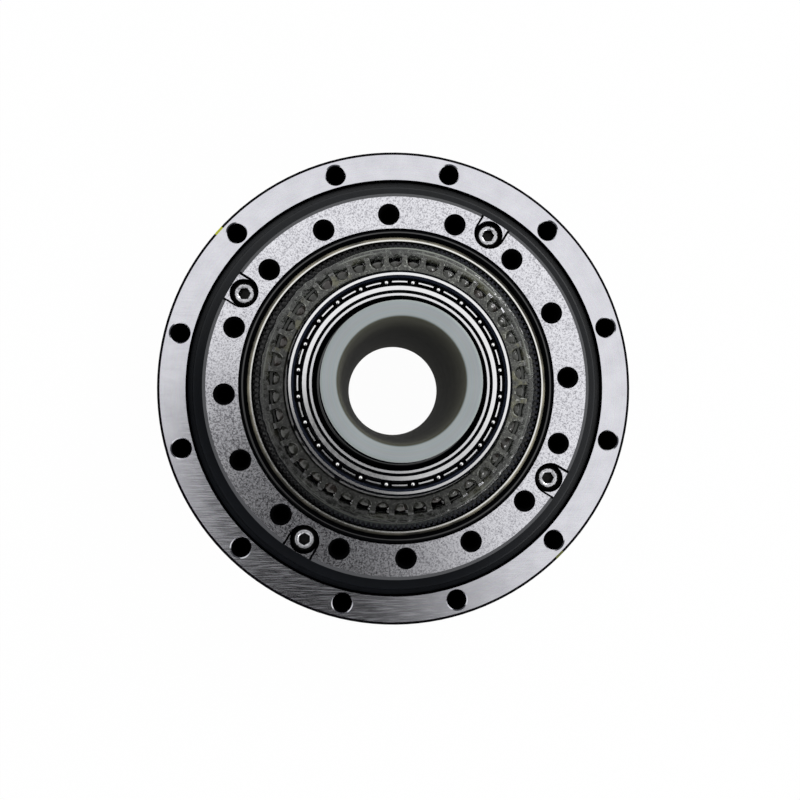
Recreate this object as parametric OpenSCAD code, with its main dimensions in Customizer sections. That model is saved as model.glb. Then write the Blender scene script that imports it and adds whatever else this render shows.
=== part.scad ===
// Hollow-shaft strain wave reducer, size 20, ratio 80 to 1.
// Millimetres. +Z is the common axis and points to the output side.
// z = 0 is the rear end of the cable sleeve. The rings stack forward from there.

/* [Fixed ring] */
// From the bolt circle to the outside of the fixed ring
ring_rim = 3; // [2.6:0.1:5]
// Thickness of the fixed ring
ring_t = 13.2; // [12.8:0.1:16]
// From the rollers' pitch circle to the seal seat in the front face
seat_wall = 2.9; // [2.7:0.1:3]
// Depth of the seal seat
seat_depth = 3.1; // [2.9:0.1:3.4]
// From the seal seat to the bolt circle of the fixed ring
bolt_wall = 2.5; // [2.3:0.1:2.8]
// Number of bolt holes in the fixed ring
bolt_n = 12; // [8:4:16]
// Diameter of each bolt hole
bolt_d = 3.5; // [3.2:0.1:3.6]
// Angle of the first bolt hole
bolt_start = 15.98; // [14:0.01:18]
// Chamfer on outer edges and at hole mouths
edge = 0.3; // [0.2:0.05:0.4]

/* [Output spline] */
// From the tapped holes' circle to the outside of the output spline
spline_rim = 4; // [3.5:0.1:4.2]
// Thickness of the output spline
spline_t = 11; // [10.8:0.1:11.6]
// How far the output face stands in front of the fixed ring
spline_proud = 7.4; // [7:0.1:8]
// Chamfer on the output spline's front edge
spline_edge = 0.75; // [0.4:0.05:0.9]
// From the face groove to the circle of the tapped holes
out_wall = 2.53; // [2.4:0.01:2.8]
// Number of tapped holes in the output face
out_n = 16; // [8:8:16]
// Diameter of each tapped hole
out_hole_d = 3; // [2.5:0.1:3.2]
// Depth of each tapped hole
out_depth = 7.8; // [6:0.1:8]
// Diameter of a tapped hole's mouth
out_mouth_d = 3.9; // [3.6:0.1:4]
// Angle of the first tapped hole
out_start = 2.86; // [1:0.01:5]
// Width of the rim between the teeth and the face groove
rim_w = 0.75; // [0.7:0.01:0.9]
// Width of the face groove
groove_w = 1.47; // [1.4:0.01:1.55]
// Depth of the face groove
groove_depth = 1.3; // [1.2:0.05:1.45]
// How far the bore's rim lies behind the output face
rim_drop = 0.4; // [0.2:0.05:0.6]

/* [Screws] */
// Thread diameter of the small screws
screw_d = 2.5; // [2.3:0.1:2.5]
// Head diameter of the output spline's screws
head_d = 4.5; // [4.3:0.1:4.6]
// Head height of the output spline's screws
head_h = 2.5; // [2:0.1:2.6]
// Rounding of those heads' top edge
head_round = 0.75; // [0.3:0.05:0.8]
// Hex key width across flats of those heads
key_w = 2; // [1.8:0.1:2.2]
// Depth of the hex socket in those heads
key_depth = 1.3; // [1:0.1:1.6]
// Angle at which each of these sockets was left
key_turns = [6, 4, 31, 3]; // [0:1:60]
// Length of the output spline's screws under the head
screw_len = 12; // [10.5:0.5:12.5]
// From the face groove to the circle of the output spline's screws
screw_wall = 3.95; // [3.8:0.01:4]
// Angle of the first of these screws
screw_start = 58.8; // [57:0.01:61]
// Width of the pocket that is open to the rim
pocket_w = 5.75; // [5.2:0.05:6]
// Depth of that pocket's floor
pocket_depth = 1.2; // [0.8:0.1:1.6]
// How far a head stands below the pocket's floor
head_sink = 0.7; // [0.4:0.1:1]
// Length of the rear screws
flange_screw_len = 9; // [7:0.5:10]
// Head diameter of the rear countersunk screws
csk_d = 4.7; // [4.4:0.1:4.8]

/* [Cross rollers] */
// Diameter of a cross roller
roller_d = 3.5; // [3.3:0.05:3.55]
// Number of cross rollers, an even number
roller_n = 52; // [40:2:52]
// From the outside of the output spline to the rollers' pitch circle
roller_wall = 1.6; // [1.5:0.05:1.65]
// Gap between the two rings' lands
land_gap = 0.9; // [0.8:0.05:1]
// From the roots of the circular spline's teeth to the bore of the bearing's inner ring
inner_wall = 1.07; // [0.8:0.01:1.4]
// Thickness of the bearing's inner ring
inner_t = 7.9; // [7.6:0.1:8]
// Diameter of the plug in the roller filling hole
plug_d = 5; // [4.6:0.1:5.2]
// Diameter of the pin that locks the plug
pin_d = 1.5; // [1.2:0.1:1.6]

/* [Teeth] */
// Teeth of the flexspline, two fewer than the circular spline
cup_teeth = 160; // [120:2:160]
// Length of the toothed zone
tooth_len = 10; // [9.2:0.1:10.2]
// Clearance at the tips of the teeth where they mesh
tooth_gap = 0.15625; // [0.14:0.00001:0.17]
// Depth of the circular spline's teeth
spline_tooth_h = 0.68; // [0.64:0.01:0.72]
// Depth of the flexspline's teeth
cup_tooth_h = 0.64; // [0.6:0.01:0.66]
// Width of a tooth at its tip, as a share of the pitch
tip_share = 0.245; // [0.22:0.005:0.26]
// Width of a tooth at its root, as a share of the pitch
root_share = 0.63; // [0.6:0.005:0.65]
// Angle of the oval's long axis
wave_axis = 75; // [0:1:180]

/* [Flexspline] */
// From the balls' pitch circle to the bore of the flexspline, when round
cup_in = 2.95; // [2.9:0.01:3]
// Wall under the teeth
cup_wall = 0.43; // [0.4:0.01:0.44]
// How far the flexspline's mouth lies behind the output face
cup_drop = 0.8; // [0.7:0.1:1]
// Thickness of the rear clamping flange
cup_flange_t = 3.4; // [3.2:0.1:4.5]
// Thickness of the diaphragm
diaphragm_t = 0.6; // [0.5:0.05:0.8]

/* [Flexible bearing] */
// Width of the flexible bearing's races
race_w = 9.2; // [8.8:0.1:9.6]
// How far the races stand in front of the output face
race_proud = 1.6; // [1.4:0.1:1.8]
// Ball diameter of the flexible bearing
flex_ball_d = 2.778; // [2.7:0.001:2.8]
// Number of balls, and of cage fingers
flex_n = 42; // [36:2:42]
// From the bore of the inner race to the balls' pitch circle
race_h = 2.8; // [2.7:0.05:2.9]
// Distance from the pitch circle to each race's shoulder
flex_shoulder = 1.05; // [1.04:0.01:1.08]
// From the bore of the support bearings to the mean outline of the cam
cam_rise = 3.6; // [3.5:0.1:3.8]
// How far the fingers stand in front of the races
finger_proud = 3.5; // [3:0.1:3.8]
// How far a finger reaches outside the balls' pitch circle
finger_out = 1.3; // [1.2:0.05:1.35]
// How far a finger reaches inside the balls' pitch circle
finger_back = 1.8; // [1.6:0.05:1.85]
// Radius of the hollow between two fingers
hollow_r = 1.18; // [1.1:0.02:1.2]
// Angle of the first finger
finger_start = 1.33; // [0:0.01:8]

/* [Support bearings] */
// Wall of the shaft between its front recess and the support bearings
journal_wall = 0.6; // [0.5:0.05:1]
// Height of a support bearing's section, from its bore to its outside
sup_h = 3.5; // [3.5:0.05:3.7]
// Width of the support bearings
sup_w = 4; // [3.8:0.1:4.2]
// Ball diameter of the support bearings
sup_ball_d = 1.984; // [1.9:0.002:2]
// Number of balls in each support bearing
sup_n = 24; // [16:1:24]
// Thickness of the sheet that the support bearings' cages are made of
sup_cage_t = 0.34; // [0.2:0.02:0.5]
// Distance from that pitch circle to each ring's shoulder
sup_shoulder = 0.66; // [0.62:0.01:0.7]
// How far the front bearing's face stands in front of the output face
front_proud = 12.3; // [12:0.1:13]
// How far the rear bearing's near face lies behind the rear mounting face
rear_proud = 0.3; // [0.2:0.1:0.6]

/* [Shaft and sleeve] */
// How far the sleeve stands behind the shaft's tail
sleeve_back = 0.5; // [0.2:0.1:2]
// How far the sleeve stands in front of the shaft
sleeve_proud = 8.2; // [6:0.1:12]
// Wall of the cable sleeve
sleeve_wall = 2.75; // [2:0.25:3]
// Bore of the cable sleeve
sleeve_bore = 19.5; // [18:0.5:21]
// Section of the O-rings round the sleeve
cord_d = 1.85; // [1.7:0.01:1.86]
// Length of the shaft's tail behind the rear bearing
tail_len = 2.6; // [2.2:0.1:2.8]
// Width of the drive slots in the tail
slot_w = 4; // [3:0.5:5]

/* [Clearances] */
// Radial clearance of balls and rollers in their grooves
run_gap = 0.045; // [0.04:0.005:0.06]
// Radial clearance of parts that are pressed or slid together
fit_gap = 0.02; // [0.01:0.005:0.03]
// Clearance of screws, plugs and seals
loose_gap = 0.06; // [0.04:0.01:0.08]

/* [Hidden] */
$fn = 96;

// Heights along the axis, from the rear forward
tail_z = sleeve_back;
rear_z0 = tail_z + tail_len;
rear_z1 = rear_z0 + sup_w;
rear_z = rear_z1 + rear_proud;
ring_z = rear_z + cup_flange_t;
face_z = ring_z + ring_t;
out_z = face_z + spline_proud;
spline_z = out_z - spline_t;
inner_z = spline_z - inner_t;
roller_z = inner_z + inner_t / 2;
cup_z = out_z - cup_drop;
race_z1 = out_z + race_proud;
race_z0 = race_z1 - race_w;
flex_z = (race_z0 + race_z1) / 2;
finger_z = race_z1 + finger_proud;
front_z1 = out_z + front_proud;
front_z0 = front_z1 - sup_w;
shaft_z = front_z1 - 0.4;
sleeve_len = shaft_z + sleeve_proud;

// Diameters, from the bore outward. Each one follows the one before it
sleeve_d = sleeve_bore + 2 * sleeve_wall;
mouth_d = sleeve_d + 2 * (cord_d + 0.05);
sup_bore = mouth_d + 2 * journal_wall;
sup_d = sup_bore + 2 * sup_h;
sup_pcd = (sup_bore + sup_d) / 2;
cam_d = sup_bore + 2 * cam_rise;
flex_pcd = cam_d + 2 * race_h;
finger_tip_d = flex_pcd + 2 * finger_out;
finger_in_d = flex_pcd - 2 * finger_back;
cup_bore = flex_pcd + 2 * cup_in;
cup_root_r = cup_bore / 2 + cup_wall;
// Half the difference between the oval's long and short radii, which takes up two teeth
wave_h = (cup_root_r + cup_tooth_h / 2) * 2 / cup_teeth;
spline_tip_d = 2 * (cup_root_r + wave_h + tooth_gap);
spline_root_d = spline_tip_d + 2 * spline_tooth_h;
rim_r = spline_root_d / 2 + 0.32;
groove_in_r = rim_r + rim_w;
groove_d = 2 * (groove_in_r + groove_w);
out_pcd = groove_d + 2 * out_wall;
screw_pcd = groove_d + 2 * screw_wall;
spline_d = out_pcd + 2 * spline_rim;
inner_bore = spline_root_d + 2 * inner_wall;
roller_pcd = spline_d + 2 * roller_wall;
seat_d = roller_pcd + 2 * seat_wall;
bolt_pcd = seat_d + 2 * bolt_wall;
ring_d = bolt_pcd + 2 * ring_rim;

// Radii
land_in_r = roller_pcd / 2 - land_gap / 2;
land_out_r = roller_pcd / 2 + land_gap / 2;
vee_h = (roller_d / 2 + run_gap) * sqrt(2);
spline_teeth = cup_teeth + 2;
cup_flange_in_r = land_out_r + 0.15;
screw_hole_d = screw_d + 2 * fit_gap;
head_z = out_z - pocket_depth - head_sink - head_h;
journal_r = sup_bore / 2 - fit_gap;
step_r = journal_r + 1.2;
shaft_bore_r = sleeve_d / 2 + 0.1;
ball_seat_r = flex_ball_d / 2 + run_gap;
oval_n = 96;
plug_a = bolt_start - 15;

// Height of the wave at an angle
function wave(a) = wave_h * cos(2 * (a - wave_axis));
// Points of an oval whose mean radius is r
function oval(r) = [for (i = [0 : oval_n - 1]) let (a = i * 360 / oval_n) (r + wave(a)) * [cos(a), sin(a)]];
// Points of an arc, for profiles
function arc(c, r, a0, a1, n = 10) = [for (i = [0 : n]) let (a = a0 + (a1 - a0) * i / n) c + r * [cos(a), sin(a)]];
function polar(r, a) = r * [cos(a), sin(a)];
// Angle that a width w takes at radius r
function span(w, r) = w / r * 180 / PI;

// Outline of the space inside the circular spline: ridges at r_tip, gaps at r_root
function spline_outline() =
    let (n = spline_teeth, r_tip = spline_tip_d / 2, r_root = spline_root_d / 2)
    let (pitch = 2 * PI * r_tip / n, t = tip_share * pitch / 2, b = root_share * pitch / 2)
    [for (k = [0 : n - 1]) let (a = wave_axis + (k + 0.5) * 360 / n)
        each [
            polar(r_root, a - span(b, r_root)),
            polar(r_tip, a - span(t, r_tip)),
            polar(r_tip, a + span(t, r_tip)),
            polar(r_root, a + span(b, r_root))
        ]];

// Outline of the flexspline's teeth, bent to the oval with its arc length kept
function cup_outline() =
    let (n = cup_teeth, r_root = cup_root_r, r_tip = cup_root_r + cup_tooth_h)
    let (pitch = 2 * PI * r_tip / n, t = tip_share * pitch / 2, b = root_share * pitch / 2)
    [for (k = [0 : n - 1])
        let (f = wave_axis + k * 360 / n, w = wave(f))
        let (a = f - span(wave_h / 2 * sin(2 * (f - wave_axis)), r_root))
        each [
            polar(r_root + w, a - span(b, r_root)),
            polar(r_tip + w, a - span(t, r_tip)),
            polar(r_tip + w, a + span(t, r_tip)),
            polar(r_root + w, a + span(b, r_root))
        ]];

module around(n, start = 0) {
    for (i = [0 : n - 1]) {
        rotate([0, 0, start + i * 360 / n]) children();
    }
}

module revolve(points) {
    rotate_extrude() polygon(points);
}

module oval_ring(r_out, r_in, z, h) {
    translate([0, 0, z]) linear_extrude(h) difference() {
        polygon(oval(r_out));
        polygon(oval(r_in));
    }
}

// A round hole along Z from z0 to z1, with a chamfered mouth at each end that asks for one
module hole(r, d, z0, z1, low = 0, high = 0) {
    translate([r, 0, z0 - 0.01]) cylinder(d = d, h = z1 - z0 + 0.02);
    if (low > 0) {
        translate([r, 0, z0 - 0.01]) cylinder(d1 = d + 2 * low + 0.02, d2 = d, h = low + 0.01);
    }
    if (high > 0) {
        translate([r, 0, z1 - high]) cylinder(d1 = d, d2 = d + 2 * high + 0.02, h = high + 0.01);
    }
}

module torus(r, d, z) {
    translate([0, 0, z]) rotate_extrude() translate([r, 0]) circle(d = d);
}

// Fixed ring of the cross-roller bearing
module bearing_outer_ring() {
    half = vee_h - land_gap / 2;
    color("gainsboro") difference() {
        revolve([
            [land_out_r + 0.2, ring_z],
            [ring_d / 2 - edge, ring_z],
            [ring_d / 2, ring_z + edge],
            [ring_d / 2, face_z - edge],
            [ring_d / 2 - edge, face_z],
            [seat_d / 2 + 0.15, face_z],
            [seat_d / 2, face_z - 0.15],
            [seat_d / 2, face_z - seat_depth],
            [land_out_r, face_z - seat_depth],
            [land_out_r, roller_z + half],
            [land_out_r + half, roller_z],
            [land_out_r, roller_z - half],
            [land_out_r, ring_z + 0.2]
        ]);
        around(bolt_n, bolt_start) hole(bolt_pcd / 2, bolt_d, ring_z, face_z, 0, edge);
        around(4, bolt_start + 15) hole(bolt_pcd / 2, screw_hole_d, ring_z, ring_z + flange_screw_len - 2.6);
        rotate([0, 0, plug_a]) {
            translate([land_out_r, 0, roller_z]) rotate([0, 90, 0])
                cylinder(d = plug_d + 2 * fit_gap, h = ring_d / 2 - land_out_r + 1);
            hole(bolt_pcd / 2, pin_d + 2 * fit_gap, ring_z, roller_z + plug_d / 2 + 1);
        }
        torus_groove();
    }
}

// Groove for the O-ring in the rear of the fixed ring
module torus_groove() {
    translate([0, 0, ring_z - 0.01]) difference() {
        cylinder(r = land_out_r + 2.4, h = 1.01);
        cylinder(r = land_out_r + 0.95, h = 1.01);
    }
}

// Plug of the roller filling hole, with the raceway cut into its end
module roller_plug() {
    half = vee_h - land_gap / 2;
    color("silver") difference() {
        rotate([0, 0, plug_a]) translate([land_out_r, 0, roller_z]) rotate([0, 90, 0])
            cylinder(d = plug_d, h = ring_d / 2 - 0.4 - land_out_r);
        revolve([
            [land_out_r - 1, roller_z + half + 1],
            [land_out_r + half, roller_z],
            [land_out_r - 1, roller_z - half - 1]
        ]);
        rotate([0, 0, plug_a]) {
            hole(bolt_pcd / 2, pin_d + 2 * fit_gap, ring_z, roller_z + plug_d);
            translate([ring_d / 2, 0, roller_z]) cube([2, 0.8, plug_d + 1], center = true);
        }
    }
}

module plug_pin() {
    color("dimgray") rotate([0, 0, plug_a]) translate([bolt_pcd / 2, 0, ring_z + 0.1])
        cylinder(d = pin_d, h = roller_z - ring_z + plug_d / 2 + 0.7);
}

// Rubber lip seal between the fixed ring and the output spline
module output_seal() {
    heel = seat_d / 2 - loose_gap;
    lip = spline_d / 2 + loose_gap;
    z = face_z - seat_depth;
    color("darkslategray") revolve([
        [heel, z + 0.05],
        [heel, face_z - 1.2],
        [heel - 0.8, face_z - 1.2],
        [heel - 1.05, face_z - 0.55],
        [heel - 1.3, face_z - 0.5],
        [lip + 1.3, face_z - 0.85],
        [lip + 0.2, face_z - 0.5],
        [lip, face_z - 0.85],
        [lip + 0.2, face_z - 1.5],
        [lip + 1.6, face_z - 1.8],
        [land_out_r + 0.6, z + 0.05]
    ]);
}

// Thin toothed cup with a diaphragm and a clamping flange that turn outwards at the rear
module flexspline() {
    in_r = cup_bore / 2 - wave_h - 0.05;
    out_r = cup_root_r + wave_h + 0.2;
    front = ring_z - 0.7;
    back = front - diaphragm_t;
    color("slategray") union() {
        difference() {
            translate([0, 0, cup_z - tooth_len]) linear_extrude(tooth_len) polygon(cup_outline());
            translate([0, 0, cup_z - tooth_len - 1]) linear_extrude(tooth_len + 2) polygon(oval(cup_bore / 2));
        }
        oval_ring(cup_root_r - 0.02, cup_bore / 2, ring_z + 1.2, cup_z - tooth_len - ring_z - 1.19);
        difference() {
            revolve(concat(
                [[in_r, ring_z + 2.2], [out_r, ring_z + 2.2]],
                arc([out_r + 1.5, front + 1.5], 1.5, 180, 270),
                [
                    [cup_flange_in_r - 0.8, front],
                    [cup_flange_in_r - 0.1, ring_z],
                    [ring_d / 2 - edge, ring_z],
                    [ring_d / 2, ring_z - edge],
                    [ring_d / 2, rear_z + edge],
                    [ring_d / 2 - edge, rear_z],
                    [cup_flange_in_r + 0.4, rear_z],
                    [cup_flange_in_r, rear_z + 0.4]
                ],
                arc([cup_flange_in_r - 0.8, back - 0.8], 0.8, 0, 90),
                arc([in_r + 2.2, back + 2.2], 2.2, 270, 180)
            ));
            around(bolt_n, bolt_start) hole(bolt_pcd / 2, bolt_d, rear_z, ring_z, edge);
            around(4, bolt_start + 15) {
                hole(bolt_pcd / 2, screw_hole_d, rear_z, ring_z);
                translate([bolt_pcd / 2, 0, rear_z - 0.01]) cylinder(d1 = csk_d + 0.3, d2 = screw_hole_d, h = 1.4);
            }
        }
    }
}

// Countersunk screws that hold the flexspline behind the fixed ring
module flange_screws() {
    color("dimgray") around(4, bolt_start + 15) difference() {
        translate([bolt_pcd / 2, 0, rear_z + 0.1]) {
            cylinder(d = screw_d, h = flange_screw_len - 0.3);
            cylinder(d1 = csk_d, d2 = screw_d, h = 1.2);
        }
        translate([bolt_pcd / 2, 0, rear_z - 1]) cylinder(d = 1.73, h = 2, $fn = 6);
    }
}

module flange_o_ring() {
    color("black") torus(land_out_r + 1.675, 1, ring_z + 0.5);
}

// Output ring with internal teeth, tapped holes and four screw pockets
module circular_spline() {
    r = spline_d / 2;
    rim_z = out_z - rim_drop;
    color("lightgray") difference() {
        revolve([
            [spline_tip_d / 2 - 0.3, spline_z],
            [r - 0.3, spline_z],
            [r, spline_z + 0.3],
            [r, out_z - spline_edge],
            [r - spline_edge, out_z],
            [groove_d / 2, out_z],
            [groove_d / 2, out_z - groove_depth],
            [groove_in_r, out_z - groove_depth],
            [groove_in_r, rim_z - 0.35],
            [groove_in_r - 0.35, rim_z],
            [rim_r, rim_z],
            [rim_r - 0.3, rim_z - 0.3],
            [spline_tip_d / 2 - 0.3, rim_z - 0.3]
        ]);
        translate([0, 0, spline_z - 1]) linear_extrude(spline_t + 2) polygon(spline_outline());
        around(out_n, out_start)
            hole(out_pcd / 2, out_hole_d, out_z - out_depth, out_z, 0, (out_mouth_d - out_hole_d) / 2);
        around(4, screw_start) {
            hole(screw_pcd / 2, screw_d + 0.2, spline_z, out_z);
            translate([screw_pcd / 2, 0, head_z]) cylinder(d = head_d + 0.6, h = out_z - head_z + 1);
            translate([screw_pcd / 2, 0, out_z - pocket_depth]) {
                cylinder(d = pocket_w, h = pocket_depth + 1);
                translate([0, -pocket_w / 2, 0]) cube([r, pocket_w, pocket_depth + 1]);
            }
        }
    }
}

module spline_screws() {
    corner_d = key_w / cos(30);
    color("darkslategray") for (i = [0 : 3])
        rotate(screw_start + 90 * i) translate([screw_pcd / 2, 0, head_z]) rotate(key_turns[i] - 90 * i) difference() {
            union() {
                revolve(concat(
                    [[0, 0], [head_d / 2, 0]],
                    arc([head_d / 2 - head_round, head_h - head_round], head_round, 0, 90, 6),
                    [[0, head_h]]
                ));
                translate([0, 0, -screw_len]) cylinder(d = screw_d, h = screw_len + 0.1);
            }
            translate([0, 0, head_h - key_depth]) cylinder(d = corner_d, h = key_depth + 1, $fn = 6);
            translate([0, 0, head_h - 0.15]) cylinder(d1 = key_w, d2 = corner_d + 0.3, h = 0.16);
        }
}

module face_o_ring() {
    d = groove_w - 2 * loose_gap;
    color("black") torus((groove_d / 2 + groove_in_r) / 2, d, out_z - groove_depth + d / 2);
}

// Turning ring of the cross-roller bearing, screwed behind the output spline
module bearing_inner_ring() {
    half = vee_h - land_gap / 2;
    color("silver") difference() {
        revolve([
            [inner_bore / 2, inner_z + 0.3],
            [inner_bore / 2 + 0.3, inner_z],
            [land_in_r - 0.3, inner_z],
            [land_in_r, inner_z + 0.3],
            [land_in_r, roller_z - half],
            [land_in_r - half, roller_z],
            [land_in_r, roller_z + half],
            [land_in_r, spline_z - 0.3],
            [land_in_r - 0.3, spline_z],
            [inner_bore / 2 + 0.3, spline_z],
            [inner_bore / 2, spline_z - 0.3]
        ]);
        around(4, screw_start) hole(screw_pcd / 2, screw_hole_d, inner_z, spline_z);
    }
}

// One cross roller at angle zero, tilted either way
module roller(tilt, grow = 0) {
    translate([roller_pcd / 2, 0, roller_z]) rotate([0, tilt, 0])
        cylinder(d = roller_d + 2 * grow, h = roller_d - 0.1 + 4 * grow, center = true);
}

module cross_rollers() {
    color("lightsteelblue") around(roller_n / 2, 180 / roller_n) {
        roller(45);
        rotate([0, 0, 360 / roller_n]) roller(-45);
    }
}

// Spacers with a hollow on each side, turned as the roller beside it
module roller_spacers() {
    step = 360 / roller_n;
    room = 2 * PI * roller_pcd / 2 / roller_n - roller_d;
    color("ivory") around(roller_n / 2, 0) {
        for (side = [0, 1]) {
            rotate([0, 0, side * step]) difference() {
                translate([roller_pcd / 2, 0, roller_z]) rotate([0, 45, 0])
                    cube([roller_d - 0.5, room + 0.6, roller_d - 0.5], center = true);
                rotate([0, 0, step / 2]) roller(side == 0 ? 45 : -45, loose_gap);
                rotate([0, 0, -step / 2]) roller(side == 0 ? -45 : 45, loose_gap);
            }
        }
    }
}

// Hollow shaft with the oval cam in its middle
module input_shaft() {
    cam_r = cam_d / 2 - fit_gap;
    color("lightgray") difference() {
        union() {
            revolve([
                [shaft_bore_r, tail_z],
                [journal_r - 0.5, tail_z],
                [journal_r - 0.1, tail_z + 0.4],
                [journal_r - 0.1, rear_z0 - 0.1],
                [journal_r, rear_z0],
                [journal_r, rear_z1],
                [step_r, rear_z1],
                [step_r, rear_z1 + 2],
                [step_r + 1.2, rear_z1 + 3.2],
                [step_r + 1.2, race_z0 - 3.6],
                [cam_r + 1, race_z0 - 2.2],
                [cam_r + 1, race_z0],
                [cam_r - wave_h - 0.2, race_z0],
                [cam_r - wave_h - 0.2, race_z1],
                [cam_r - 1, race_z1],
                [cam_r - 1, race_z1 + 1],
                [cam_r - 0.5, race_z1 + 1],
                [cam_r - 0.5, race_z1 + 1.6],
                [step_r + 0.8, race_z1 + 2.2],
                [step_r, front_z0 - 2],
                [step_r, front_z0],
                [journal_r, front_z0],
                [journal_r, shaft_z - 0.2],
                [journal_r - 0.2, shaft_z],
                [shaft_bore_r, shaft_z]
            ]);
            translate([0, 0, race_z0 - 0.1]) linear_extrude(race_w + 0.1) polygon(oval(cam_r));
        }
        translate([0, 0, tail_z - 1]) cylinder(r = shaft_bore_r, h = shaft_z - tail_z + 2);
        translate([0, 0, shaft_z - 3.2]) cylinder(d = mouth_d, h = 4);
        translate([0, 0, rear_z1 + 0.6]) cylinder(d = mouth_d, h = cord_d + 0.6);
        for (side = [0, 180]) {
            rotate([0, 0, side + wave_axis]) translate([0, -slot_w / 2, tail_z - 1]) cube([sup_bore, slot_w, 2.6]);
        }
    }
}

// A race of the flexible bearing. Its groove is cut in steps that follow the ball's round
module flex_race(r_plain, sign) {
    r_ball = flex_pcd / 2;
    steps = 3;
    top = sqrt(ball_seat_r * ball_seat_r - flex_shoulder * flex_shoulder);
    difference() {
        if (sign > 0) {
            oval_ring(r_plain, r_ball + flex_shoulder, race_z0, race_w);
        } else {
            oval_ring(r_ball - flex_shoulder, r_plain, race_z0, race_w);
        }
        for (i = [0 : steps - 1]) {
            low = top * i / steps;
            high = top * (i + 1) / steps;
            reach = sqrt(ball_seat_r * ball_seat_r - low * low);
            if (sign > 0) {
                translate([0, 0, flex_z - high]) linear_extrude(2 * high) polygon(oval(r_ball + reach));
            } else {
                oval_ring(r_ball, r_ball - reach, flex_z - high, 2 * high);
            }
        }
    }
}

module flex_inner_race() {
    color("silver") flex_race(cam_d / 2, -1);
}

module flex_outer_race() {
    color("darkgray") flex_race(cup_bore / 2 - fit_gap, 1);
}

module flex_balls() {
    color("white") for (k = [0 : flex_n - 1]) {
        a = finger_start + (k + 0.5) * 360 / flex_n;
        rotate([0, 0, a]) translate([flex_pcd / 2 + wave(a), 0, flex_z]) sphere(d = flex_ball_d);
    }
}

// Crown cage: one pocket for each ball, open to the front between two fingers
module flex_cage() {
    web_in = flex_pcd / 2 - flex_shoulder + wave_h + 0.1;
    web_out = flex_pcd / 2 + flex_shoulder - wave_h - 0.1;
    tip_r = finger_tip_d / 2;
    in_r = finger_in_d / 2;
    mid_r = in_r + 0.8 + hollow_r;
    color("darkolivegreen") difference() {
        revolve([
            [web_in, race_z0 + 0.4],
            [web_out, race_z0 + 0.4],
            [web_out, race_z1 + 0.2],
            [tip_r, race_z1 + 0.5],
            [tip_r, finger_z - 0.8],
            [tip_r - 0.5, finger_z],
            [in_r + 0.3, finger_z],
            [in_r, finger_z - 0.3],
            [in_r, race_z1 + 0.5],
            [web_in, race_z1 + 0.2]
        ]);
        around(flex_n, finger_start + 180 / flex_n) {
            translate([web_in - 1, 0, flex_z]) rotate([0, 90, 0]) cylinder(r = ball_seat_r, h = 4);
            translate([mid_r, 0, flex_z]) cylinder(r = hollow_r, h = finger_z - flex_z + 1);
            translate([0, 0, flex_z]) linear_extrude(finger_z - flex_z + 1)
                polygon([[mid_r, -hollow_r], [tip_r + 1, -hollow_r - 0.1], [tip_r + 1, hollow_r + 0.1], [mid_r, hollow_r]]);
        }
    }
}

// Round wire ring that holds the inner race on the cam
module race_ring() {
    gap = 3;
    color("gray") difference() {
        revolve([
            [cam_d / 2 - 1, race_z1 + 0.05],
            [cam_d / 2 + 0.7, race_z1 + 0.05],
            [cam_d / 2 + 0.7, race_z1 + 0.9],
            [cam_d / 2 - 1, race_z1 + 0.9]
        ]);
        rotate([0, 0, wave_axis + 90]) translate([0, -gap / 2, race_z1 - 1]) cube([cam_d, gap, 4]);
    }
}

module sleeve_o_rings() {
    r = sleeve_d / 2 + cord_d / 2 + fit_gap;
    color("black") {
        torus(r, cord_d, shaft_z - 3.2 + cord_d / 2 + 0.02);
        torus(r, cord_d, rear_z1 + 0.6 + cord_d / 2 + 0.3);
    }
}

// Plastic sleeve that guides cables through the hollow shaft
module cable_sleeve() {
    r = sleeve_d / 2;
    b = sleeve_bore / 2;
    e = 0.5;
    color("whitesmoke") revolve(concat(
        arc([r - e, e], e, 270, 360, 4),
        arc([r - e, sleeve_len - e], e, 0, 90, 4),
        arc([b + e, sleeve_len - e], e, 90, 180, 4),
        arc([b + e, e], e, 180, 270, 4)
    ));
}

// Thin ball bearing on the shaft, one module for each of its pieces
module sup_inner(z) {
    r = sup_pcd / 2 - sup_shoulder;
    b = sup_bore / 2;
    difference() {
        revolve([
            [b, z + 0.25],
            [b + 0.25, z],
            [r - 0.18, z],
            [r, z + 0.18],
            [r, z + sup_w - 0.18],
            [r - 0.18, z + sup_w],
            [b + 0.25, z + sup_w],
            [b, z + sup_w - 0.25]
        ]);
        torus(sup_pcd / 2, sup_ball_d + 2 * run_gap, z + sup_w / 2);
    }
}

module sup_outer(z) {
    r = sup_pcd / 2 + sup_shoulder;
    b = sup_d / 2;
    land_r = b - 0.78;
    difference() {
        revolve([
            [r, z + 0.75],
            [land_r, z + 0.45],
            [land_r, z],
            [b - 0.36, z],
            [b, z + 0.3],
            [b, z + sup_w - 0.3],
            [b - 0.36, z + sup_w],
            [land_r, z + sup_w],
            [land_r, z + sup_w - 0.45],
            [r, z + sup_w - 0.75]
        ]);
        torus(sup_pcd / 2, sup_ball_d + 2 * run_gap, z + sup_w / 2);
    }
}

module sup_balls(z) {
    around(sup_n, 180 / sup_n) translate([sup_pcd / 2, 0, z + sup_w / 2]) sphere(d = sup_ball_d);
}

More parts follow.
